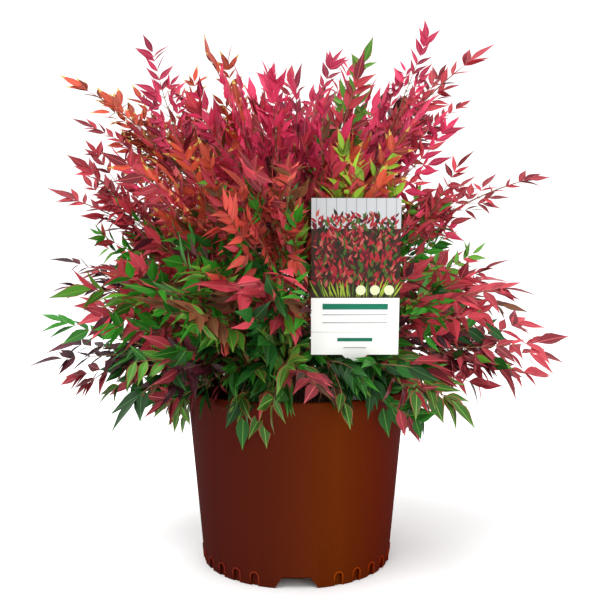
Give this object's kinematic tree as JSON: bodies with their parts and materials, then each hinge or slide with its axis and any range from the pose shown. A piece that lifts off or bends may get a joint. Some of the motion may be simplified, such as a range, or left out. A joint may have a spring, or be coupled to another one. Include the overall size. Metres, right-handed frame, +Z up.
{
  "type": "potted heavenly bamboo shrub",
  "caption": "Dense many-caned evergreen shrub with narrow green, red and magenta leaflets, standing in a round tapered red-brown nursery pot, with a plain picture label on a stem.",
  "frame": {"origin": "centre of the pot's flat underside", "axes": "+Z up along the pot's axis; -Y towards the side that the label faces; +X to the right when looking at that side"},
  "size_m": [0.7002, 0.5792, 0.6802],
  "materials": {
    "pot_plastic": "satin, moulded, red-brown",
    "potting_mix": "rough, crumbled bark and peat",
    "label_card": "smooth printed card",
    "cane_bark": "rough, furrowed",
    "leaves_green": "satin leaf",
    "leaves_mixed": "satin leaf",
    "leaves_rose": "satin leaf",
    "leaves_crimson": "satin leaf",
    "leaves_magenta": "satin leaf"
  },
  "bodies": {
    "root": {"pot": "pot_plastic", "potting_mix": "potting_mix", "plant_label": "label_card", "cane_outer_1": "cane_bark", "cane_outer_2": "cane_bark", "cane_outer_3": "cane_bark", "cane_outer_4": "cane_bark", "cane_outer_5": "cane_bark", "cane_outer_6": "cane_bark", "cane_outer_7": "cane_bark", "cane_outer_8": "cane_bark", "cane_inner_1": "cane_bark", "cane_inner_2": "cane_bark", "cane_inner_3": "cane_bark", "cane_inner_4": "cane_bark", "cane_inner_5": "cane_bark", "cane_inner_6": "cane_bark", "cane_centre": "cane_bark", "foliage_skirt_1": "leaves_green", "foliage_skirt_2": "leaves_green", "foliage_skirt_3": "leaves_green", "foliage_skirt_4": "leaves_green", "foliage_skirt_5": "leaves_green", "foliage_skirt_6": "leaves_green", "foliage_skirt_7": "leaves_green", "foliage_skirt_8": "leaves_green", "foliage_low_1": "leaves_mixed", "foliage_low_2": "leaves_mixed", "foliage_low_3": "leaves_mixed", "foliage_low_4": "leaves_mixed", "foliage_low_5": "leaves_mixed", "foliage_low_6": "leaves_mixed", "foliage_low_7": "leaves_mixed", "foliage_low_8": "leaves_mixed", "foliage_side_1": "leaves_rose", "foliage_side_2": "leaves_rose", "foliage_side_3": "leaves_rose", "foliage_side_4": "leaves_rose", "foliage_side_5": "leaves_rose", "foliage_side_6": "leaves_rose", "foliage_side_7": "leaves_rose", "foliage_side_8": "leaves_rose", "foliage_shoulder_1": "leaves_crimson", "foliage_shoulder_2": "leaves_crimson", "foliage_shoulder_3": "leaves_crimson", "foliage_shoulder_4": "leaves_crimson", "foliage_shoulder_5": "leaves_crimson", "foliage_shoulder_6": "leaves_crimson", "foliage_shoulder_7": "leaves_crimson", "foliage_shoulder_8": "leaves_crimson", "foliage_crown_1": "leaves_magenta", "foliage_crown_2": "leaves_magenta", "foliage_crown_3": "leaves_magenta", "foliage_crown_4": "leaves_magenta", "foliage_crown_5": "leaves_magenta", "foliage_crown_6": "leaves_magenta", "foliage_top_1": "leaves_magenta"}
  },
  "joints": []
}
